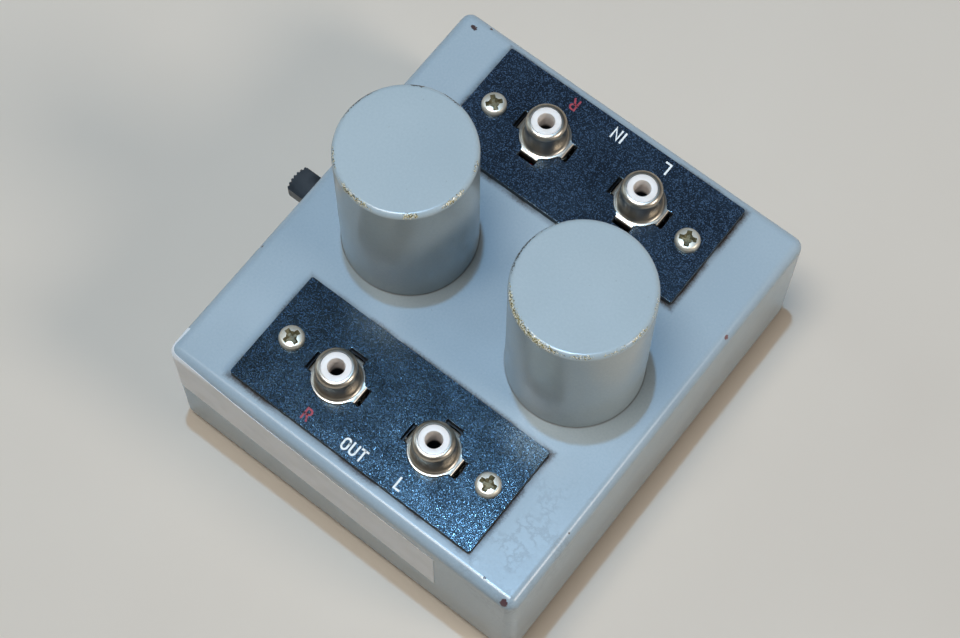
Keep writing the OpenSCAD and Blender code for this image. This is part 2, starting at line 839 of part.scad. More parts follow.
// Places of the terminals on the inner face of their board
module at_terminals() {
    for (row = [-1, 1], i = [-1 : 1])
        translate([base_x, i * terminal_pitch, switch_z + row * terminal_rows / 2])
            children();
}

module switch_base() {
    color([0.45, 0.30, 0.18])
        difference() {
            translate([base_x, -housing_l / 2, switch_z - housing_h / 2])
                cube([base_t, housing_l, housing_h]);
            at_terminals()
                translate([-cut, -terminal_w / 2 - seat_gap, -terminal_t / 2 - seat_gap])
                    cube([base_t + 2 * cut, terminal_w + 2 * seat_gap, terminal_t + 2 * seat_gap]);
        }
}

module switch_terminals() {
    color([0.75, 0.72, 0.66])
        at_terminals() {
            translate([-stop_t, -stop_l / 2, -terminal_w / 2])
                cube([stop_t, stop_l, terminal_w]);
            translate([-stop_t, -terminal_w / 2, -terminal_t / 2])
                cube([stop_t + base_t + terminal_len, terminal_w, terminal_t]);
        }
}

module switch_screws() {
    color([0.78, 0.77, 0.73])
        at_switch_screws()
            pan_screw(sheet_t + frame_t + thread_past);
}

chassis();
corner_blocks();
bottom_plate();
rubber_feet();
foot_screws();
jack_board(OUT);  // out_board
jack_board(IN);  // in_board
board_screws();
board_nuts();
jack_shell(OUT, R);  // out_r_shell
jack_insulator(OUT, R);  // out_r_insulator
jack_contact(OUT, R);  // out_r_contact
jack_shell(OUT, L);  // out_l_shell
jack_insulator(OUT, L);  // out_l_insulator
jack_contact(OUT, L);  // out_l_contact
jack_shell(IN, R);  // in_r_shell
jack_insulator(IN, R);  // in_r_insulator
jack_contact(IN, R);  // in_r_contact
jack_shell(IN, L);  // in_l_shell
jack_insulator(IN, L);  // in_l_insulator
jack_contact(IN, L);  // in_l_contact
shield_can(R);  // r_shield_can
base_disc(R);  // r_base_disc
core(R);  // r_core
bobbin(R);  // r_bobbin
primary(R);  // r_primary
secondary(R);  // r_secondary
clamp_bar(R);  // r_clamp_bar
clamp_bolts(R);  // r_clamp_bolts
felt_pad(R);  // r_felt_pad
leads(R);  // r_leads
shield_can(L);  // l_shield_can
base_disc(L);  // l_base_disc
core(L);  // l_core
bobbin(L);  // l_bobbin
primary(L);  // l_primary
secondary(L);  // l_secondary
clamp_bar(L);  // l_clamp_bar
clamp_bolts(L);  // l_clamp_bolts
felt_pad(L);  // l_felt_pad
leads(L);  // l_leads
clamp_nuts();
lead_grommets();
ground_bus();
switch_frame();
switch_slider();
switch_wipers();
switch_base();
switch_terminals();
switch_screws();
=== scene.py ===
"""Looks of the moving coil step-up transformer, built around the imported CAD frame.

Shapes, finishes and places are written in millimetres in the CAD frame.
Meshes are turned into metres when they are made.
"""
import json
import math

import bmesh
import bpy
from mathutils import Matrix, Vector

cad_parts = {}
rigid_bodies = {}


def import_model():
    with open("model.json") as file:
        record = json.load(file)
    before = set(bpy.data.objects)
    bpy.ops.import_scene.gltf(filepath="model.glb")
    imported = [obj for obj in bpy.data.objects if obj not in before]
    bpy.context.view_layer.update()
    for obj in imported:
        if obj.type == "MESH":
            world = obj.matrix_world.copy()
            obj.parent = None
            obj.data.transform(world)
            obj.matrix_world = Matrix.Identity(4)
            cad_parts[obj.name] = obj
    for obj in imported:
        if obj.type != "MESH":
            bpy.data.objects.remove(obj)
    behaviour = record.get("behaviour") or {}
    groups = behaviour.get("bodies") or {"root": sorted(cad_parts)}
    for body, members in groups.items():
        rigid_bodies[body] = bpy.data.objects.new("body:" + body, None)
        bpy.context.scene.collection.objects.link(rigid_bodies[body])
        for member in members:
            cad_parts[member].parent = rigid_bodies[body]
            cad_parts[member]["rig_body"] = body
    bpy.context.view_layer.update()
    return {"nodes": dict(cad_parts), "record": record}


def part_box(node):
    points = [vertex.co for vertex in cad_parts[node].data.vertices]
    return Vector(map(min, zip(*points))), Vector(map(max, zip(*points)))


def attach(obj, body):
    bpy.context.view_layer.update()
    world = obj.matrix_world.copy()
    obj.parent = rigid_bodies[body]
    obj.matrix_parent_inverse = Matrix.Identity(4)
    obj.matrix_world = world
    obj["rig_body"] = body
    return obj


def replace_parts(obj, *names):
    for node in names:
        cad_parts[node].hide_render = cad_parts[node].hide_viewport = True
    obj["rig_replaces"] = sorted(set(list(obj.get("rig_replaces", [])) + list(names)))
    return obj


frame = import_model()
nodes = frame["nodes"]

MM = 0.001
TURN = 96           # sides of a turned piece
SLOT_OF = {s["node"]: s["material_slot"] for s in frame["record"]["subparts"]}


# Places read from the frame

def box_mm(node):
    lo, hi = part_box(node)
    return lo / MM, hi / MM


def solids_mm(node):
    """Boxes of the separate solids of one CAD node, from left to right."""
    bm = bmesh.new()
    bm.from_mesh(nodes[node].data)
    bmesh.ops.remove_doubles(bm, verts=bm.verts, dist=1e-7)
    boxes, left = [], set(bm.verts)
    while left:
        group, queue = [], [left.pop()]
        while queue:
            v = queue.pop()
            group.append(v.co / MM)
            for e in v.link_edges:
                other = e.other_vert(v)
                if other in left:
                    left.remove(other)
                    queue.append(other)
        boxes.append((Vector(map(min, *group)), Vector(map(max, *group))))
    bm.free()
    return sorted(boxes, key=lambda b: tuple(round(c, 3) for c in b[0]))


CASE_LO, CASE_HI = box_mm("chassis")
TOP_Z = CASE_HI.z
BOARD_Z = box_mm("out_board")[1].z
EDGE_R = 2.4        # outer radius of the case's pressed edges
JACKS = [f"{side}_{channel}" for side in ("out", "in") for channel in "rl"]
CANS = ["r_shield_can", "l_shield_can"]


# Meshes

def new_object(name, data):
    obj = bpy.data.objects.new(name, data)
    bpy.context.scene.collection.objects.link(obj)
    return obj


def mesh_of(name, part):
    """A mesh from points in millimetres and faces."""
    mesh = bpy.data.meshes.new(name)
    mesh.from_pydata([Vector(p) * MM for p in part[0]], [], part[1])
    if len(part) > 2:
        mesh.polygons.foreach_set("material_index", part[2])
    return mesh


def joined(parts):
    """Several parts as one.

    A part holds points, faces and, if it has more than one finish, a finish per face.
    """
    points, faces, finishes = [], [], []
    for part in parts:
        start = len(points)
        points += part[0]
        faces += [[start + i for i in f] for f in part[1]]
        finishes += part[2] if len(part) > 2 else [0] * len(part[1])
    return points, faces, finishes


def piece(name, parts, body="case", stands_for=(), sharp=35):
    """One object from parts of points and faces, riding on a body."""
    obj = new_object(name, mesh_of(name, joined(parts)))
    bm = bmesh.new()
    bm.from_mesh(obj.data)
    bmesh.ops.remove_doubles(bm, verts=bm.verts, dist=1e-8)
    bmesh.ops.recalc_face_normals(bm, faces=bm.faces)
    bm.to_mesh(obj.data)
    bm.free()
    return settle(obj, body, stands_for, sharp)


def dressed(node, bevel=0.0, sharp=35):
    """A welded copy of a CAD node with eased edges, which stands for the node."""
    mesh = nodes[node].data.copy()
    mesh.materials.clear()
    obj = new_object(node + "_finish", mesh)
    bm = bmesh.new()
    bm.from_mesh(mesh)
    bmesh.ops.remove_doubles(bm, verts=bm.verts, dist=1e-7)
    bmesh.ops.dissolve_limit(bm, angle_limit=math.radians(0.4), verts=bm.verts, edges=bm.edges)
    if bevel:
        edges = [e for e in bm.edges if len(e.link_faces) == 2 and e.is_convex
                 and e.calc_face_angle(0) > math.radians(sharp)]
        bmesh.ops.bevel(bm, geom=edges, offset=bevel * MM, offset_type="OFFSET", segments=3,
                        profile=0.5, clamp_overlap=True, affect="EDGES")
    bm.to_mesh(mesh)
    bm.free()
    return settle(obj, nodes[node]["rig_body"], [node], sharp)


def settle(obj, body, stands_for, sharp):
    """Smooth shading with true flats, a body to ride on and the CAD nodes that it stands for."""
    obj.data.shade_smooth()
    obj.data.set_sharp_from_angle(angle=math.radians(sharp))
    flats = obj.modifiers.new("flats", "WEIGHTED_NORMAL")
    flats.keep_sharp = True
    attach(obj, body)
    if stands_for:
        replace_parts(obj, *stands_for)
    return obj


def arc(cx, cy, r, start, end, steps=8, ry=None):
    """Points of a circular or oval arc; angles in degrees."""
    angles = [math.radians(start + (end - start) * i / steps) for i in range(steps + 1)]
    return [(cx + r * math.cos(a), cy + (ry or r) * math.sin(a)) for a in angles]


def lathe(profile, at=(0, 0, 0), sides=TURN, closed=False):
    """A profile of (radius, height) turned about a vertical axis."""
    points, rings = [], []
    for r, z in profile:
        count = sides if r > 1e-6 else 1
        rings.append(range(len(points), len(points) + count))
        for i in range(count):
            a = 2 * math.pi * i / sides
            points.append((at[0] + r * math.cos(a), at[1] + r * math.sin(a), at[2] + z))
    pairs = list(zip(rings, rings[1:]))
    if closed:
        pairs.append((rings[-1], rings[0]))
    faces = []
    for low, high in pairs:
        for i in range(sides):
            j = (i + 1) % sides
            corners = [low[i % len(low)], low[j % len(low)], high[j % len(high)], high[i % len(high)]]
            corners = list(dict.fromkeys(corners))
            if len(corners) > 2:
                faces.append(corners)
    return points, faces


def ribbon(stations, half_t):
    """A bent strip: stations of (along, height, half width, turn of its normal in degrees)."""
    points, faces = [], []
    for x, z, half_w, turn in stations:
        nx = math.sin(math.radians(turn)) * half_t
        nz = math.cos(math.radians(turn)) * half_t
        points += [(x + nx, half_w, z + nz), (x + nx, -half_w, z + nz),
                   (x - nx, -half_w, z - nz), (x - nx, half_w, z - nz)]
    last = 4 * (len(stations) - 1)
    for s in range(0, last, 4):
        for i in range(4):
            j = (i + 1) % 4
            faces.append([s + i, s + j, s + 4 + j, s + 4 + i])
    faces += [[3, 2, 1, 0], [last, last + 1, last + 2, last + 3]]
    return points, faces


def placed(part, at, turn=0.0):
    """A part turned about the vertical by some degrees and moved."""
    move = Matrix.Translation(at) @ Matrix.Rotation(math.radians(turn), 4, "Z")
    return [move @ Vector(p) for p in part[0]], part[1]


def carved(part, cutters, finishes):
    """A closed part with closed cutters taken out of it.

    The finishes are those of its skin and of the cuts.
    """
    obj = new_object("blank", mesh_of("blank", part))
    paint(obj, *finishes)
    for cutter in cutters:
        tool = new_object("cutter", mesh_of("cutter", cutter))
        paint(tool, finishes[1])
        step = obj.modifiers.new("carve", "BOOLEAN")
        step.operation, step.solver, step.material_mode = "DIFFERENCE", "EXACT", "TRANSFER"
        step.object = tool
        seen = obj.evaluated_get(bpy.context.evaluated_depsgraph_get())
        left = bpy.data.meshes.new_from_object(seen)
        obj.modifiers.remove(step)
        obj.data = left
        bpy.data.objects.remove(tool)
    mesh = obj.data
    cut = [int(mesh.materials[p.material_index] == finishes[1]) for p in mesh.polygons]
    points = [v.co / MM for v in mesh.vertices]
    faces = [list(p.vertices) for p in mesh.polygons]
    bpy.data.objects.remove(obj)
    return points, faces, cut


# Finishes

def srgb(r, g, b):
    """Linear colour from 0 to 255 values as they look on a screen."""
    def lin(c):
        c /= 255
        return c / 12.92 if c <= 0.04045 else ((c + 0.055) / 1.055) ** 2.4
    return lin(r), lin(g), lin(b), 1.0


class Nodes:
    """Short ways to add shader nodes to a tree."""

    def __init__(self, tree):
        self.tree = tree

    def add(self, kind, out=0, props=None, **inputs):
        """A node's output. An input is named, with _ for a blank, or numbered as i0, i1 and so on."""
        node = self.tree.nodes.new("ShaderNode" + kind)
        for key, value in (props or {}).items():
            setattr(node, key, value)
        for key, value in inputs.items():
            socket = node.inputs[int(key[1:]) if key[1:].isdigit() else key.replace("_", " ")]
            if isinstance(value, bpy.types.NodeSocket):
                self.tree.links.new(value, socket)
            else:
                socket.default_value = value
        return node.outputs[out]

    def math(self, operation, a, b=0.0):
        return self.add("Math", props={"operation": operation}, i0=a, i1=b)

    def vector(self, operation, a, b=(0, 0, 0), out=0):
        return self.add("VectorMath", out=out, props={"operation": operation}, i0=a, i1=b)

    def span(self, value, lo, hi, to_lo=0.0, to_hi=1.0):
        """A smooth step of a value from lo to hi."""
        return self.add("MapRange", props={"interpolation_type": "SMOOTHSTEP"}, i0=value, i1=lo, i2=hi,
                        i3=to_lo, i4=to_hi)

    def mix(self, share, a, b):
        return self.add("Mix", out=2, props={"data_type": "RGBA"}, i0=share, i6=a, i7=b)

    def onlooker(self):
        """1 for rays that show a surface to the camera, to metal or through glass."""
        kinds = "Camera", "Glossy", "Transmission"
        rays = [self.add("LightPath", out=f"Is {kind} Ray") for kind in kinds]
        return self.math("MAXIMUM", rays[0], self.math("MAXIMUM", rays[1], rays[2]))

    def ramp(self, value, *stops):
        node = self.tree.nodes.new("ShaderNodeValToRGB")
        self.tree.links.new(value, node.inputs[0])
        while len(node.color_ramp.elements) < len(stops):
            node.color_ramp.elements.new(0.5)
        for element, (place, colour) in zip(node.color_ramp.elements, stops):
            element.position, element.color = place, colour
        return node.outputs[0]


class Finish(Nodes):
    """A node material. What is the same all over is set on the shader, and the rest is linked to it."""

    def __init__(self, name, **uniform):
        self.mat = bpy.data.materials.new(name)
        self.mat.use_nodes = True
        super().__init__(self.mat.node_tree)
        self.shader = next(n for n in self.tree.nodes if n.type == "BSDF_PRINCIPLED")
        for socket, value in uniform.items():
            self.shader.inputs[socket.replace("_", " ")].default_value = value
        self.place = self.vector("MULTIPLY", self.add("TexCoord", out="Object"), (1000, 1000, 1000))

    def link(self, socket, value):
        self.tree.links.new(value, self.shader.inputs[socket])

    def axes(self, vector):
        return [self.add("SeparateXYZ", out=i, Vector=vector) for i in range(3)]

    def noise(self, size, detail=3.0, rough=0.5):
        """Soft noise whose cells are about size millimetres across."""
        return self.add("TexNoise", Vector=self.place, Scale=1 / size, Detail=detail, Roughness=rough)

    def far(self, point):
        """Distance from a point."""
        return self.vector("DISTANCE", self.place, point, out="Value")

    def bump(self, height, depth, before=None):
        """Relief whose full height is depth millimetres."""
        inputs = {"Strength": 1.0, "Distance": depth * MM, "Height": height}
        if before:
            inputs["Normal"] = before
        return self.add("Bump", **inputs)


def grained(name, dark, light, size, rough, relief, **uniform):
    """A two-tone finish with uneven gloss and a fine relief."""
    f = Finish(name, **uniform)
    broad = f.noise(size * 6, detail=5)
    fine = f.noise(size, detail=2)
    tone = f.math("ADD", f.math("MULTIPLY", broad, 0.65), f.math("MULTIPLY", fine, 0.35))
    f.link("Base Color", f.ramp(tone, (0.35, dark), (0.65, light)))
    f.link("Roughness", f.span(broad, 0.3, 0.7, rough[0], rough[1]))
    f.link("Normal", f.bump(fine, relief))
    return f.mat


# Grime colour: real specks and the stain, and also painted shade round the can feet.
GRIME_AND_SHADE = srgb(88, 74, 60)
BOARD_DIRT = srgb(58, 46, 37)
UNDER_BOARD_SHADE = srgb(12, 10, 9)
CHIP_DARK = srgb(46, 38, 26)
CHIP_OLIVE = srgb(116, 106, 62)
CHIP_GOLD = srgb(190, 176, 118)
CHIP_PALE_GLINT = srgb(240, 236, 222)


class Enamel(Finish):
    """Satin paint with a broad tone, a faint orange peel and uneven gloss."""

    def __init__(self, name, deep, light):
        super().__init__(name, IOR=1.5)
        broad = self.noise(20, detail=1)
        grain = self.noise(0.5, detail=2)
        tone = self.math("ADD", self.math("MULTIPLY", broad, 0.5), self.math("MULTIPLY", grain, 0.5))
        self.colour = self.mix(self.span(tone, 0.3, 0.7), deep, light)
        specks = self.span(self.noise(0.8, detail=1), 0.80, 0.82, 0.0, 0.2)
        self.colour = self.mix(specks, self.colour, GRIME_AND_SHADE)
        self.gloss = self.span(self.noise(12, detail=2), 0.3, 0.7, 0.21, 0.26)
        self.peel = self.bump(self.noise(0.9, detail=1), 0.006)
        self.pits = None

    def chip(self, mask, colour):
        """Paint gone where a mask is 1."""
        self.colour = self.mix(mask, self.colour, colour)
        self.pits = mask if self.pits is None else self.math("MAXIMUM", self.pits, mask)

    def close(self, depth):
        bare = self.math("SUBTRACT", 1.0, self.pits)
        self.link("Base Color", self.colour)
        self.link("Roughness", self.math("ADD", self.gloss, self.math("MULTIPLY", self.pits, 0.12)))
        self.link("Normal", self.bump(bare, depth, self.peel))
        return self.mat


# Chips on the case: place, radius and colour
CASE_CHIPS = [
    ((-41.1, 47.2, 37.9), 0.55, srgb(66, 44, 40)),
    ((-40.5, 47.1, 37.9), 0.50, srgb(66, 44, 40)),
    ((-37.8, 49.4, 37.6), 0.28, srgb(78, 56, 48)),
    ((42.3, -49.8, 37.2), 0.85, srgb(88, 62, 66)),
    ((44.2, 22.8, 37.4), 0.50, srgb(118, 82, 80)),
    ((36.3, -48.2, 38.0), 0.25, srgb(58, 44, 36)),
    ((43.9, -30.5, 37.5), 0.22, srgb(84, 64, 52)),
    ((-44.2, -20.5, 37.3), 0.25, srgb(84, 64, 52)),
    ((-12.0, 49.9, 37.2), 0.22, srgb(84, 64, 52)),
]
STAIN_AT = 38, -40      # middle of the veined stain by the front right corner
STAIN_CORE = 4          # it is full within this radius
STAIN_REACH = 26        # and gone beyond this one


def case_enamel():
    """The case's paint, with dirt along the boards, painted shade under the boards and round the foot of
    each can, a stain and chips.
    """
    f = Enamel("case_enamel", srgb(153, 168, 177), srgb(161, 175, 183))
    x, y, z = f.axes(f.place)
    on_top = f.span(z, TOP_Z - 0.4, TOP_Z - 0.1)
    smear = f.noise(0.5, detail=5, rough=0.7)
    for board in ("out_board", "in_board"):
        lo, hi = box_mm(board)
        middle, half = (lo + hi) / 2, (hi - lo) / 2
        gap_x = f.math("SUBTRACT", f.math("ABSOLUTE", f.math("SUBTRACT", x, middle.x)), half.x)
        gap_y = f.math("SUBTRACT", f.math("ABSOLUTE", f.math("SUBTRACT", y, middle.y)), half.y)
        gap = f.math("MAXIMUM", gap_x, gap_y)
        away = f.math("SUBTRACT", gap, f.math("MULTIPLY", smear, 1.6))
        patchy = f.span(f.noise(9, detail=3), 0.38, 0.58, 0.45, 1.0)
        dirt = f.math("MULTIPLY", f.span(away, -0.8, 0.8, 1.0, 0.0), patchy)
        f.colour = f.mix(f.math("MULTIPLY", dirt, on_top), f.colour, BOARD_DIRT)
        # Painted shade: the case is painted near black under each board, where its slots stand in shade.
        f.colour = f.mix(f.span(gap, -0.6, -0.2, 1.0, 0.0), f.colour, UNDER_BOARD_SHADE)
    # Painted shade: a darker ring in the grime colour round the foot of each can.
    for can in CANS:
        lo, hi = box_mm(can)
        middle = (lo + hi) / 2
        reach = f.vector("DISTANCE", f.add("CombineXYZ", X=x, Y=y), (middle.x, middle.y, 0), out="Value")
        radius = (hi.x - lo.x) / 2
        can_foot_shade = f.span(reach, radius + 0.05, radius + 0.35, 0.5, 0.0)
        f.colour = f.mix(can_foot_shade, f.colour, GRIME_AND_SHADE)
    vein = f.math("ABSOLUTE", f.math("SUBTRACT", f.noise(2.6, detail=5, rough=0.6), 0.5))
    veined = f.span(f.noise(6, detail=2), 0.42, 0.6, 0.1, 1.0)
    stain = f.math("MULTIPLY", f.span(vein, 0.0, 0.09, 0.24, 0.0), veined)
    near_corner = f.span(f.far((*STAIN_AT, TOP_Z)), STAIN_CORE, STAIN_REACH, 1.0, 0.0)
    f.colour = f.mix(f.math("MULTIPLY", stain, near_corner), f.colour, GRIME_AND_SHADE)
    ragged = f.math("MULTIPLY", f.math("SUBTRACT", f.noise(0.5, detail=3), 0.5), 0.9)
    for point, radius, colour in CASE_CHIPS:
        away = f.math("ADD", f.far(point), ragged)
        f.chip(f.span(away, radius - 0.08, radius + 0.04, 1.0, 0.0), colour)
    return f.close(0.05)


# Worn stretches of the can rims: middle and half width in degrees from +X, and how worn
RIM_GOLD = {
    "r_shield_can": [(263, 24, 0.85), (224, 14, 0.7), (312, 9, 1.0), (350, 16, 0.8), (23, 9, 0.65)],
    "l_shield_can": [(252, 50, 1.0), (305, 12, 0.7), (332, 16, 0.6), (356, 14, 0.7), (24, 16, 0.55)],
}
RIM_DARK = {
    "r_shield_can": [(170, 26, 0.8), (119, 8, 1.0), (88, 12, 0.8)],
    "l_shield_can": [(186, 28, 0.8), (155, 22, 0.5)],
}
FLAKE = 0.35        # width of the flakes of paint that are gone there
RIM_INSET = 0.36    # the rim's middle lies this far inside the can's outer faces


def can_enamel(can):
    """A can's paint, worn to brass and to dark metal along its rim, with pale flecks on the brass that are
    partly painted glints.
    """
    f = Enamel(can + "_enamel", srgb(160, 173, 178), srgb(168, 180, 184))
    lo, hi = box_mm(can)
    axis = Vector(((lo.x + hi.x) / 2, (lo.y + hi.y) / 2, hi.z))
    radius = (hi.x - lo.x) / 2
    from_axis = f.vector("SUBTRACT", f.place, axis)
    flat = f.vector("MULTIPLY", from_axis, (1, 1, 0))
    aim = f.vector("NORMALIZE", flat)
    side = f.math("SUBTRACT", f.vector("LENGTH", flat, out="Value"), radius - RIM_INSET)
    down = f.math("ADD", f.axes(from_axis)[2], RIM_INSET)
    from_rim = f.vector("LENGTH", f.add("CombineXYZ", X=side, Y=down), out="Value")

    def worn(stretches):
        total = None
        for middle, half, amount in stretches:
            a = math.radians(middle)
            near = f.vector("DOT_PRODUCT", aim, (math.cos(a), math.sin(a), 0), out="Value")
            wide, full = math.cos(math.radians(half)), math.cos(math.radians(half * 0.35))
            part = f.span(near, wide, full, 0.0, amount)
            total = part if total is None else f.math("MAXIMUM", total, part)
        return total

    def flakes(size, stretches, narrow):
        wear = f.math("MULTIPLY", worn(stretches), 0.32)
        level = f.math("ADD", f.noise(size, detail=5, rough=0.65), wear)
        return f.span(f.math("SUBTRACT", level, f.math("MULTIPLY", from_rim, narrow)), 0.66, 0.70)

    gold = flakes(FLAKE, RIM_GOLD[can], 0.28)
    # The pale end of the chips' tint is partly bare metal and partly painted glint.
    tint = f.ramp(f.noise(0.3, detail=2), (0.33, CHIP_DARK), (0.42, CHIP_OLIVE), (0.5, CHIP_GOLD),
                  (0.58, CHIP_PALE_GLINT))
    f.chip(flakes(FLAKE, RIM_DARK[can], 0.45), CHIP_DARK)
    f.chip(gold, tint)
    f.link("Metallic", f.math("MULTIPLY", gold, 0.35))
    return f.close(0.04)


FACET = 0.068               # how far the flakes in a board's laminate lean from its face
FACET_SIZES = 0.11, 0.17    # widths of the flakes
GRAIN = 0.2                 # width of the pale grains in its colour, which are partly painted glints


def board_finish(name, deep, light, fleck_glint):
    """Dark laminate whose fine grain glints, with pale flecks in its colour that are partly painted glints,
    and brown sawn edges painted near black, partly as shade in its slots.
    """
    f = Finish(name, IOR=1.95, Specular_Tint=(0.64, 0.86, 1.0, 1.0))
    broad = f.noise(7, detail=4)
    face = f.mix(f.span(broad, 0.3, 0.7), deep, light)
    grain = f.add("TexVoronoi", out="Color", Vector=f.place, Scale=1 / GRAIN)
    # Pale flecks in the colour: partly the laminate's grain, partly painted glints.
    face = f.mix(f.span(f.axes(grain)[0], 0.6, 1.0), face, fleck_glint)
    normal = f.add("NewGeometry", out="Normal")
    upright = f.math("ABSOLUTE", f.axes(normal)[2])
    # Brown sawn edges, painted near black partly as the shade in the slots for the tabs.
    edge = f.mix(f.span(f.noise(0.6), 0.35, 0.65), srgb(14, 10, 9), srgb(36, 25, 21))
    f.link("Base Color", f.mix(f.span(upright, 0.55, 0.9), edge, face))
    gloss = f.span(broad, 0.3, 0.7, 0.16, 0.19)
    f.link("Roughness", f.math("ADD", gloss, f.span(upright, 0.55, 0.9, 0.6, 0.0)))
    for size in FACET_SIZES:
        facet = f.add("TexVoronoi", out="Color", Vector=f.place, Scale=1 / size)
        lean = f.vector("MULTIPLY", f.vector("SUBTRACT", facet, (0.5, 0.5, 0.5)), (FACET, FACET, 0))
        normal = f.vector("ADD", normal, lean)
    f.link("Normal", f.vector("NORMALIZE", normal))
    return f.mat


def nickel_finish():
    """Dull nickel plate."""
    f = Finish("nickel", Metallic=1.0)
    broad = f.noise(3, detail=4)
    f.link("Base Color", f.ramp(broad, (0.3, srgb(172, 164, 151)), (0.55, srgb(187, 180, 169)),
                                (0.75, srgb(199, 194, 185))))
    f.link("Roughness", f.span(f.noise(4, detail=1), 0.3, 0.7, 0.32, 0.36))
    f.link("Normal", f.bump(f.noise(1.2, detail=1), 0.0008))
    return f.mat


def contact_finish():
    """Plate, pale at the mouth and painted dark further down, as the shade deep in the hole."""
    f = Finish("contact_plate", Metallic=0.1)
    cloudy = f.noise(0.8, detail=3)
    pale = f.mix(f.span(cloudy, 0.3, 0.7), srgb(238, 230, 225), srgb(247, 241, 237))
    depth = f.math("ADD", f.axes(f.place)[2], f.math("MULTIPLY", cloudy, 0.4))
    # Painted shade: near black deeper in the hole, pale near its mouth.
    f.link("Base Color", f.mix(f.span(depth, BOARD_Z + 1.6, BOARD_Z + 3.2), srgb(14, 11, 10), pale))
    f.link("Roughness", f.span(cloudy, 0.3, 0.7, 0.4, 0.55))
    f.link("Normal", f.bump(cloudy, 0.01))
    return f.mat


def ink(name, colour, faded):
    """Printed ink, thin in places."""
    f = Finish(name, IOR=1.45)
    f.link("Base Color", f.mix(f.span(f.noise(0.5, detail=3), 0.45, 0.75), colour, faded))
    f.link("Roughness", f.span(f.noise(0.8), 0.3, 0.7, 0.4, 0.6))
    f.link("Normal", f.bump(f.noise(0.3), 0.004))
    return f.mat


def banded(name, dark, light, pitch, direction, **uniform):
    """Fine parallel bands, as of laminations or turns of wire."""
    f = Finish(name, **uniform)
    wave = f.add("TexWave", props={"bands_direction": direction}, Vector=f.place, Scale=0.314 / pitch,
                 Distortion=0.6, Detail=1.0, Detail_Scale=2.0)
    f.link("Base Color", f.mix(wave, dark, light))
    f.link("Roughness", f.span(f.noise(1.5), 0.3, 0.7, 0.3, 0.5))
    f.link("Normal", f.bump(wave, 0.03))
    return f.mat


MATERIALS = {
    "zinc_steel": grained("zinc_steel", srgb(128, 126, 120), srgb(182, 181, 176), 0.7, (0.28, 0.5), 0.004,
                          Metallic=1.0),
    "rubber": grained("rubber", srgb(18, 18, 18), srgb(40, 40, 41), 0.4, (0.6, 0.8), 0.02),
    "nickel": nickel_finish(),
    "white_plastic": grained("white_plastic", srgb(245, 234, 226), srgb(250, 241, 234), 1.2, (0.3, 0.42),
                             0.003, Subsurface_Weight=0.5, Subsurface_Radius=(1.0, 0.95, 0.92),
                             Subsurface_Scale=3 * MM),
    "brass": contact_finish(),
    "fibre": grained("fibre", srgb(84, 52, 30), srgb(126, 86, 54), 0.35, (0.5, 0.7), 0.01),
    "core_steel": banded("core_steel", srgb(64, 66, 70), srgb(120, 122, 126), 0.5, "Y", Metallic=0.8),
    "nylon": grained("nylon", srgb(206, 198, 172), srgb(226, 219, 196), 0.8, (0.4, 0.55), 0.006),
    "copper": banded("copper", srgb(120, 56, 26), srgb(206, 124, 72), 0.25, "Z", Metallic=0.9),
    "felt": grained("felt", srgb(92, 88, 80), srgb(134, 129, 118), 0.25, (0.85, 0.98), 0.1),
    "wire": grained("wire", srgb(132, 22, 18), srgb(186, 40, 32), 1.0, (0.35, 0.5), 0.006),
    "tinned_wire": grained("tinned_wire", srgb(160, 156, 146), srgb(208, 205, 198), 0.4, (0.25, 0.4), 0.005,
                           Metallic=1.0),
    "black_plastic": grained("black_plastic", srgb(13, 14, 16), srgb(24, 26, 29), 0.5, (0.3, 0.45), 0.006),
}
SCREW_PLATE = grained("screw_plate", srgb(205, 197, 180), srgb(226, 220, 206), 0.9, (0.4, 0.48), 0.002,
                      Metallic=0.7)
# Olive dirt in the screws' cross recesses, painted darker than it is as the shade in the recesses.
RECESS_DIRT_AND_SHADE = grained("recess_dirt_and_shade", srgb(84, 78, 54), srgb(136, 128, 98), 0.3, (0.4, 0.6), 0.02,
                      Metallic=0.2)
WHITE_INK = ink("white_ink", srgb(238, 238, 234), srgb(206, 208, 208))
RED_INK = ink("red_ink", srgb(164, 56, 66), srgb(84, 44, 60))


def paint(obj, *mats):
    for slot in range(len(obj.data.materials), len(mats)):
        obj.data.materials.append(mats[slot])
    for slot, mat in enumerate(mats):
        obj.data.materials[slot] = mat
    return obj


# Case, cans and boards

paint(dressed("chassis"), case_enamel())
paint(dressed("bottom_plate", bevel=0.15), MATERIALS["zinc_steel"])

CAN_EDGE = 1.2      # radius of a can's top edge
CAN_WALL = 0.8
for can in CANS:
    lo, hi = box_mm(can)
    r, h = (hi.x - lo.x) / 2, hi.z - lo.z
    inner = r - CAN_WALL
    outside = [(r - 0.25, 0.0), (r, 0.25), (r, h * 0.3), (r, h * 0.6)]
    outside += arc(r - CAN_EDGE, h - CAN_EDGE, CAN_EDGE, 0, 90, 10)
    outside += [(r * 0.6, h), (0, h)]
    inside = [(0, h - CAN_WALL), (inner - 0.4, h - CAN_WALL), (inner, h - CAN_WALL - 0.4), (inner, 0.0)]
    foot = ((lo.x + hi.x) / 2, (lo.y + hi.y) / 2, lo.z)
    shell = lathe(outside + inside + outside[:1], foot, sides=160)
    paint(piece(can + "_finish", [shell], stands_for=[can]), can_enamel(can))

# Both boards are one laminate, given two tones as painted light and shade: the OUT board darker, the IN
# board lighter.
BOARD_FINISH = {
    "out_board": board_finish("out_laminate", srgb(4, 7, 11), srgb(6, 11, 18), srgb(48, 72, 100)),
    "in_board": board_finish("in_laminate", srgb(16, 24, 36), srgb(21, 31, 45), srgb(62, 82, 106)),
}
for board, mat in BOARD_FINISH.items():
    paint(dressed(board, bevel=0.16), mat)


# Phono jacks

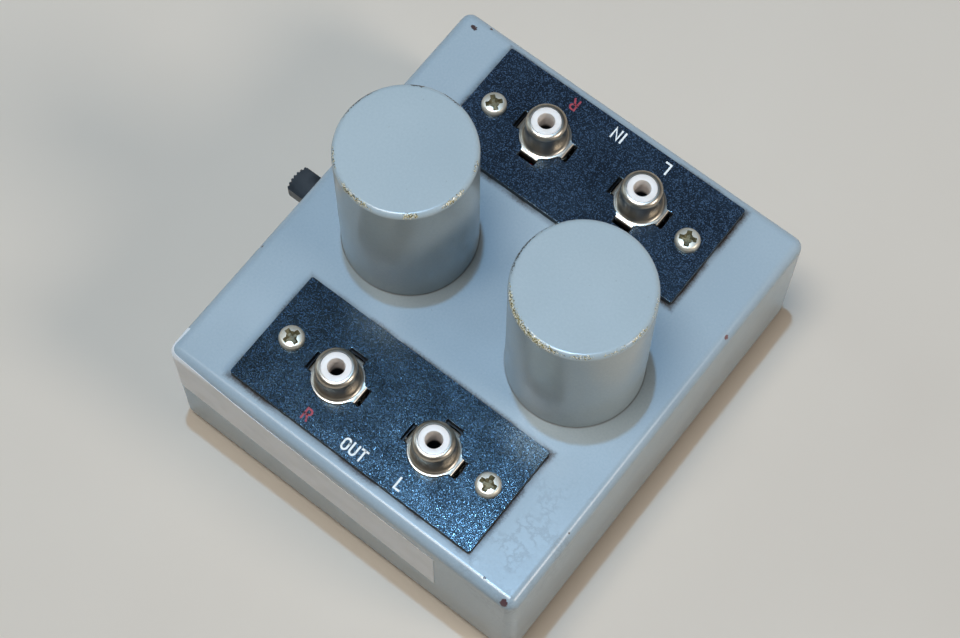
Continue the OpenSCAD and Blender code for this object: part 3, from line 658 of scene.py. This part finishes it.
SHELL_R = 4.5       # barrel
SHELL_T = 0.5       # sheet
DOME_R = 1.2        # rolled top
FLARE_R = 0.9       # hollow round between the barrel and its flange
FLANGE_RIM = 0.3    # the flange's turned edge stands this far out from the CAD's
COLLAR_R = 3.25     # white collar inside the rolled top
MOUTH_R = 1.85
GRIP_R = 1.62       # bore of the contact below the mouth
TAB_HALF = 2.1      # half the width of a tab
TAB_T = 0.36        # its sheet
TAB_SLOPE = 9       # degrees by which it falls towards its slot
NECK_R = 0.5        # rounding between a tab and the flange
BEND_R = 0.25       # bend of a tab into its slot
TAB_SHY = 0.15      # a tab's outer face stands this far in from the CAD's
CLINCH = 1.6        # its end reaches back this far under the board
LIP_GAP = 0.06      # between the collar and the rolled top
LIP_DEPTH = 0.9     # how far down the rolled top's inner edge reaches
UNDER_ROUND = 0.18  # rounding of the flange's lower edge
RIM_ROUND = 0.2     # rounding of its upper edge
FOOT_SWELL = 0.08   # the barrel is this much wider at its foot
BODY_BORE = 2.3     # the insulator's bore round the contact
LEDGE_Z = 5.05      # height of the ledge that ends this bore


def shell_profile(flange, height):
    """Flange, flared foot, barrel and a top rolled in round the collar."""
    lip = COLLAR_R + LIP_GAP
    turn_in = lip - (SHELL_R - DOME_R)
    roll = math.degrees(math.acos(turn_in / DOME_R))
    foot_r = SHELL_R + FOOT_SWELL
    outside = [(SHELL_R - SHELL_T, 0.0)]
    outside += arc(flange - UNDER_ROUND, UNDER_ROUND, UNDER_ROUND, -90, 0, 4)
    outside += arc(flange - RIM_ROUND, SHELL_T - RIM_ROUND, RIM_ROUND, 0, 90, 4)
    outside += arc(foot_r + FLARE_R, SHELL_T + FLARE_R, FLARE_R, -90, -180, 8)
    outside += [(SHELL_R + 0.02, 2.0), (SHELL_R, 3.0)]
    outside += arc(SHELL_R - DOME_R, height - DOME_R, DOME_R, 0, roll, 10)
    inside = [(lip, height - 0.4), (lip, height - LIP_DEPTH), (SHELL_R - SHELL_T, height - DOME_R)]
    return outside + inside + outside[:1]


def tab_stations(flange, reach, low):
    """A tab from under the barrel, over the flange and down through the board to its clinched end."""
    drop_x = reach - TAB_SHY - TAB_T / 2
    neck = math.sqrt(flange ** 2 - TAB_HALF ** 2) - 0.2
    fall = math.tan(math.radians(TAB_SLOPE))
    start = SHELL_T - TAB_T / 2 - 0.01

    def level(x):
        return start - fall * max(x - neck, 0.0)

    stations = [(SHELL_R + 0.3, start, TAB_HALF + NECK_R, 0)]
    for i in range(6):
        x = neck + 0.2 * i * NECK_R
        stations.append((x, level(x), TAB_HALF + NECK_R * (1 - math.sin(i * math.pi / 10)), TAB_SLOPE))
    for turn in (TAB_SLOPE, 30, 50, 70, 90):
        a = math.radians(turn)
        x, z = drop_x + BEND_R * (math.sin(a) - 1), level(drop_x - BEND_R) + BEND_R * (math.cos(a) - 1)
        stations.append((x, z, TAB_HALF, turn))
    under = low + TAB_T / 2
    stations += [(drop_x - 0.05, low + 0.75, TAB_HALF, 105), (drop_x - 0.3, low + 0.4, TAB_HALF, 145)]
    stations += [(reach - 0.5, under, TAB_HALF, 180), (reach - CLINCH, under, TAB_HALF, 180)]
    return stations


def insulator_profile(wide, base, height):
    """A body inside the barrel, the collar above it and the mouth for the pin."""
    shoulder = height - DOME_R - 0.05
    outside = [(BODY_BORE, base), (wide, base), (wide, shoulder), (COLLAR_R - 0.02, shoulder)]
    outside += arc(COLLAR_R - 0.17, height - 0.2, 0.15, 0, 90, 4)
    inside = arc(MOUTH_R + 0.12, height - 0.17, 0.12, 90, 180, 6)
    inside += [(GRIP_R, LEDGE_Z + 0.15), (GRIP_R, LEDGE_Z), (BODY_BORE, LEDGE_Z), (BODY_BORE, base)]
    return outside + inside


for jack in JACKS:
    body_lo, body_hi = box_mm(jack + "_insulator")
    shell_lo, shell_hi = box_mm(jack + "_shell")
    axis = Vector(((body_lo.x + body_hi.x) / 2, (body_lo.y + body_hi.y) / 2, BOARD_Z))
    flange = min(axis.y - shell_lo.y, shell_hi.y - axis.y) + FLANGE_RIM
    height = shell_hi.z - BOARD_Z
    parts = [placed(lathe(shell_profile(flange, height)), axis)]
    tab = ribbon(tab_stations(flange, shell_hi.x - axis.x, shell_lo.z - BOARD_Z), TAB_T / 2)
    to_cans = 90 if jack.startswith("out") else -90
    for turn in (0, 180, to_cans):
        parts.append(placed(tab, axis, turn))
    shell = piece(jack + "_shell_finish", parts, stands_for=[jack + "_shell"], sharp=42)
    paint(shell, MATERIALS["nickel"])
    profile = insulator_profile((body_hi.x - body_lo.x) / 2, body_lo.z - BOARD_Z, height)
    collar = piece(jack + "_insulator_finish", [placed(lathe(profile), axis)],
                   stands_for=[jack + "_insulator"])
    paint(collar, MATERIALS["white_plastic"])


# Screws with a cross recess

HEAD_R = 2.75
HEAD_H = 1.6
THREAD_R = 1.5
CROSS_HALF = 2.1        # reach of an arm of the recess at the head's top
CROSS_ARM = 0.6         # half width of an arm there
CROSS_DEPTH = 1.1
WELL_TOP = 1.35         # radius of the round well between the arms, above the head
WELL_FLOOR = 0.55       # and at its floor
HEAD_EDGE = 0.18        # rounding of the head's lower edge
HEAD_ROUND = 0.95       # rounding of its shoulder
SHANK_TIP = 0.3         # chamfer at the thread's end


def pan_head(length):
    """A screw with its head's seat at z = 0 and its thread running down."""
    shank = [(0, -length), (THREAD_R - SHANK_TIP, -length), (THREAD_R, SHANK_TIP - length), (THREAD_R, 0.0)]
    head = arc(HEAD_R - HEAD_EDGE, HEAD_EDGE, HEAD_EDGE, -90, 0, 4)
    head += arc(HEAD_R - HEAD_ROUND, 0.55, HEAD_ROUND, 0, 70, 10)
    head += [(1.2, HEAD_H - 0.07), (0.6, HEAD_H - 0.015), (0.0, HEAD_H)]
    return lathe(shank + head, sides=64)


def cross_cutters():
    """Two tapered blades and a round well that meet in the middle of the head."""
    top, floor = HEAD_H + 0.3, HEAD_H - CROSS_DEPTH
    corners = []
    for z, share in ((floor, 0.55), (top, 1.05)):
        reach, half = CROSS_HALF * share, CROSS_ARM * share
        corners += [(-reach, -half, z), (reach, -half, z), (reach, half, z), (-reach, half, z)]
    faces = [[3, 2, 1, 0], [4, 5, 6, 7]]
    faces += [[i, (i + 1) % 4, 4 + (i + 1) % 4, 4 + i] for i in range(4)]
    blades = [placed((corners, faces), (0, 0, 0), turn) for turn in (0, 90)]
    well = lathe([(0, floor - 0.1), (WELL_FLOOR, floor - 0.1), (WELL_TOP, top), (0, top)], sides=32)
    return blades + [well]


def screw_set(node, turns, down):
    """Screws for the solids of a node; down is the way their threads point."""
    down = Vector(down)
    axis = max(range(3), key=lambda i: abs(down[i]))
    stand = Vector((0, 0, -1)).rotation_difference(down).to_matrix().to_4x4()
    finishes = SCREW_PLATE, RECESS_DIRT_AND_SHADE
    screws = []
    for (lo, hi), turn in zip(solids_mm(node), turns):
        length = hi[axis] - lo[axis] - HEAD_H
        seat = (lo + hi) / 2
        seat[axis] = lo[axis] + length if down[axis] < 0 else hi[axis] - length
        points, faces, cut = carved(pan_head(length), cross_cutters(), finishes)
        move = Matrix.Translation(seat) @ stand @ Matrix.Rotation(math.radians(turn), 4, "Z")
        screws.append(([move @ p for p in points], faces, cut))
    paint(piece(node + "_finish", screws, stands_for=[node], sharp=30), *finishes)


screw_set("board_screws", (71, 50, 7, 22), (0, 0, -1))
screw_set("foot_screws", (10, 55, 30, 75), (0, 0, 1))
screw_set("switch_screws", (25, 70), (1, 0, 0))


# Feet and switch

def foot_profile(r, h):
    """A rubber foot with a soft lower edge and a well for its screw."""
    well, hole, deck = 3.25, 1.6, 2.0
    outside = [(hole, h), (r, h), (r - 0.1, 0.9), *arc(r - 0.75, 0.6, 0.6, 0, -90, 6)]
    inside = [(well + 0.3, 0.0), (well, 0.3), (well, deck), (hole, deck)]
    return (outside + inside)[::-1]


feet = []
for lo, hi in solids_mm("rubber_feet"):
    at = ((lo.x + hi.x) / 2, (lo.y + hi.y) / 2, lo.z)
    feet.append(lathe(foot_profile((hi.x - lo.x) / 2, hi.z - lo.z), at, sides=64, closed=True))
paint(piece("rubber_feet_finish", feet, stands_for=["rubber_feet"]), MATERIALS["rubber"])
paint(dressed("switch_slider", bevel=0.12, sharp=30), MATERIALS["black_plastic"])
paint(dressed("switch_frame", bevel=0.1), MATERIALS["zinc_steel"])


# Marks on the boards, drawn as strokes in a cell one unit high

GLYPHS = {
    "R": [[(0, 0), (0, 1), *arc(0.25, 0.75, 0.27, 90, -90, 10, ry=0.25), (0, 0.5)],
          [(0.24, 0.5), (0.52, 0)]],
    "L": [[(0, 1), (0, 0), (0.5, 0)]],
    "O": [[*arc(0.26, 0.72, 0.26, 0, 180, 10, ry=0.28), *arc(0.26, 0.28, 0.26, 180, 360, 10, ry=0.28),
           (0.52, 0.72)]],
    "U": [[(0, 1), *arc(0.26, 0.28, 0.26, 180, 360, 10, ry=0.28), (0.52, 1)]],
    "T": [[(0, 1), (0.54, 1)], [(0.27, 1), (0.27, 0)]],
    "I": [[(0, 0), (0, 1)]],
    "N": [[(0, 0), (0, 1), (0.6, 0), (0.6, 1)]],
}
GLYPH_W = {"R": 0.52, "L": 0.5, "O": 0.52, "U": 0.52, "T": 0.54, "I": 0.08, "N": 0.6}
GLYPH_GAP = 0.32
MARK_H = 2.45       # from the middle of the lowest stroke to that of the highest
STROKE = 0.44
INK_T = 0.025


def stroke(points, half):
    """A flat line of ink with a low crown along a run of points."""
    out, faces = [], []
    pts = [Vector(p) for p in points]
    for i, p in enumerate(pts):
        before = (p - pts[i - 1]).normalized() if i else (pts[1] - p).normalized()
        after = (pts[i + 1] - p).normalized() if i < len(pts) - 1 else before
        along = (before + after).normalized() if (before + after).length > 1e-6 else before
        side = Vector((-along.y, along.x)) * half / max(0.5, along.dot(before))
        cap = along * half * ((i == len(pts) - 1) - (i == 0))
        for share, lift in ((1, 0.0), (0.75, INK_T), (-0.75, INK_T), (-1, 0.0)):
            q = p + side * share + cap
            out.append((q.x, q.y, lift))
        if i:
            faces += [[4 * i - 4 + k, 4 * i - 3 + k, 4 * i + 1 + k, 4 * i + k] for k in range(3)]
    return out, faces


def mark(name, text, at, turn, mat):
    """Words of strokes on a board, around a middle point."""
    total = sum(GLYPH_W[c] for c in text) + GLYPH_GAP * (len(text) - 1)
    x, parts = -total / 2, []
    for letter in text:
        for run in GLYPHS[letter]:
            pts = [((x + px) * MARK_H, (py - 0.5) * MARK_H) for px, py in run]
            parts.append(placed(stroke(pts, STROKE / 2), (at[0], at[1], BOARD_Z), turn))
        x += GLYPH_W[letter] + GLYPH_GAP
    paint(piece(name, parts, sharp=60), mat)


OUT_ROW, IN_ROW = -43.9, 45.1
mark("mark_out_r", "R", (-12.6, OUT_ROW), 0, RED_INK)
mark("mark_out", "OUT", (-0.4, OUT_ROW), 0, WHITE_INK)
mark("mark_out_l", "L", (11.4, OUT_ROW), 0, WHITE_INK)
mark("mark_in_r", "R", (-12.1, IN_ROW), 180, RED_INK)
mark("mark_in", "IN", (-0.4, IN_ROW), 180, WHITE_INK)
mark("mark_in_l", "L", (12.1, IN_ROW), 180, WHITE_INK)


# A blank paper label, pasted a little askew round the front left corner

LABEL_END = 25.0        # x of its right end
LABEL_WRAP = 8.0        # length past the start of the corner
LABEL_LOW = 14.0        # height of its lower right corner
LABEL_TALL = 18.0
LABEL_SLOPE = 0.078
PAPER_T = 0.09


def wall_point(along, up, lift):
    """A point on the front wall, carried round the left corner and over the top edge."""
    flat_x, flat_y, flat_z = CASE_LO.x + EDGE_R, CASE_LO.y + EDGE_R, TOP_Z - EDGE_R
    past = flat_x - along
    turn = min(max(past / EDGE_R, 0.0), math.pi / 2)
    out = Vector((-math.sin(turn), -math.cos(turn), 0))
    spine = Vector((max(along, flat_x), flat_y + max(past - EDGE_R * math.pi / 2, 0.0), 0))
    rise = min(max((up - flat_z) / EDGE_R, 0.0), math.pi / 2)
    reach = EDGE_R + lift
    height = flat_z + reach * math.sin(rise) if rise else up
    return spine + out * reach * math.cos(rise) + Vector((0, 0, height))


def paper_label():
    columns, rows = 96, 24
    start = CASE_LO.x + EDGE_R - LABEL_WRAP
    points, faces = [], []
    for lift in (PAPER_T, 0.01):
        for i in range(columns + 1):
            along = start + (LABEL_END - start) * i / columns
            low = LABEL_LOW + LABEL_SLOPE * (LABEL_END - along)
            points += [wall_point(along, low + LABEL_TALL * j / rows, lift) for j in range(rows + 1)]
    step, layer = rows + 1, (columns + 1) * (rows + 1)
    for i in range(columns):
        for j in range(rows):
            a = i * step + j
            faces.append([a, a + step, a + step + 1, a + 1])
            faces.append([layer + a + 1, layer + a + step + 1, layer + a + step, layer + a])
    rim = [i * step for i in range(columns)] + [columns * step + j for j in range(rows)]
    rim += [i * step + rows for i in range(columns, 0, -1)] + list(range(rows, 0, -1))
    faces += [[a, layer + a, layer + b, b] for a, b in zip(rim, rim[1:] + rim[:1])]
    f = Finish("label_paper", IOR=1.4)
    fibre = f.noise(0.4, detail=4, rough=0.6)
    cloudy = f.span(f.noise(7, detail=4), 0.35, 0.7)
    f.link("Base Color", f.mix(cloudy, srgb(244, 244, 245), srgb(236, 236, 236)))
    f.link("Roughness", f.span(fibre, 0.3, 0.7, 0.5, 0.7))
    f.link("Normal", f.bump(fibre, 0.006))
    paint(piece("paper_label", [(points, faces)], sharp=50), f.mat)


paper_label()


# CAD nodes that are shown as they are

replaced = {n for o in bpy.data.objects for n in o.get("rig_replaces", [])}
for node, obj in nodes.items():
    if node not in replaced:
        paint(obj, MATERIALS[SLOT_OF[node]])


# Floor, light and camera

BACKDROP = srgb(186, 180, 170)
FLOOR_HALF = 6000           # half the floor's width
FADE_FROM = 250             # the floor goes over into the backdrop from this far out
FADE_TO = 1400              # to this far out
CAMERA_AT = 107.31, -144.17, 487.68
CAMERA_TURN = 37.265, 68.820, 0.748     # azimuth, elevation and roll in degrees
LENS = 87.585
SENSOR = 36.0


def floor():
    """A plain floor that goes over into an even backdrop far from the object."""
    side = FLOOR_HALF
    corners = [(-side, -side, 0), (side, -side, 0), (side, side, 0), (-side, side, 0)]
    obj = new_object("floor", mesh_of("floor", (corners, [[0, 1, 2, 3]])))
    f = Finish("floor_finish", Roughness=0.9, IOR=1.3)
    f.link("Base Color", f.mix(f.noise(60, detail=3), srgb(205, 193, 179), srgb(211, 200, 186)))
    backdrop = f.add("Emission", Color=BACKDROP)
    seen = f.math("MULTIPLY", f.onlooker(), f.span(f.far((0, 0, 0)), FADE_FROM, FADE_TO))
    surface = next(n for n in f.tree.nodes if n.type == "OUTPUT_MATERIAL").inputs["Surface"]
    shown = f.add("MixShader", i0=seen, i1=f.shader.outputs[0], i2=backdrop)
    f.tree.links.new(shown, surface)
    paint(obj, f.mat)


def lamp(name, at, size, watts, colour):
    """A round lamp that shines on the middle of the case."""
    data = bpy.data.lights.new(name, "AREA")
    data.shape, data.size, data.energy, data.color = "DISK", size, watts, colour
    obj = new_object(name, data)
    obj.location = at
    obj.rotation_euler = (Vector((0, 0, TOP_Z * MM)) - Vector(at)).to_track_quat("-Z", "Y").to_euler()


def room():
    """Dim surroundings under a paler ceiling."""
    world = bpy.data.worlds.new("room")
    bpy.context.scene.world = world
    world.use_nodes = True
    n = Nodes(world.node_tree)
    height = n.add("SeparateXYZ", out=2, Vector=n.add("TexCoord", out="Generated"))
    ceiling = n.mix(n.span(height, 0.3, 0.9), (0.015, 0.015, 0.015, 1.0), (0.05, 0.05, 0.05, 1.0))
    seen = n.math("MULTIPLY", n.onlooker(), n.span(height, 0.2, 0.4, 1.0, 0.0))
    back = next(node for node in n.tree.nodes if node.type == "BACKGROUND")
    n.tree.links.new(n.mix(seen, ceiling, BACKDROP), back.inputs["Color"])


def camera():
    """The photograph's camera."""
    azimuth, elevation, roll = (math.radians(a) for a in CAMERA_TURN)
    flat = math.cos(elevation)
    back = Vector((math.sin(azimuth) * flat, -math.cos(azimuth) * flat, math.sin(elevation)))
    right = Vector((0, 0, 1)).cross(back).normalized()
    up = back.cross(right)
    across = right * math.cos(roll) + up * math.sin(roll)
    upward = up * math.cos(roll) - right * math.sin(roll)
    data = bpy.data.cameras.new("camera")
    data.sensor_fit, data.sensor_width, data.lens = "HORIZONTAL", SENSOR, LENS
    data.clip_start, data.clip_end = 0.01, 50.0
    obj = new_object("camera", data)
    at = Matrix.Translation(Vector(CAMERA_AT) * MM)
    obj.matrix_world = at @ Matrix((across, upward, back)).transposed().to_4x4()
    bpy.context.scene.camera = obj


floor()
room()
lamp("key", (-0.083, 0.055, 1.34), 0.03, 7.6, (0.32, 0.63, 1.0))
lamp("top_box", (-0.12, -0.24, 1.5), 0.5, 11.0, (1.0, 0.96, 0.9))
lamp("right_box", (1.15, 0.2, 1.0), 0.5, 7.8, (1.0, 0.93, 0.85))
lamp("left_box", (-1.2, -0.3, 0.9), 0.6, 2.4, (0.72, 0.9, 1.0))
camera()
bpy.context.scene.view_settings.view_transform = "Standard"
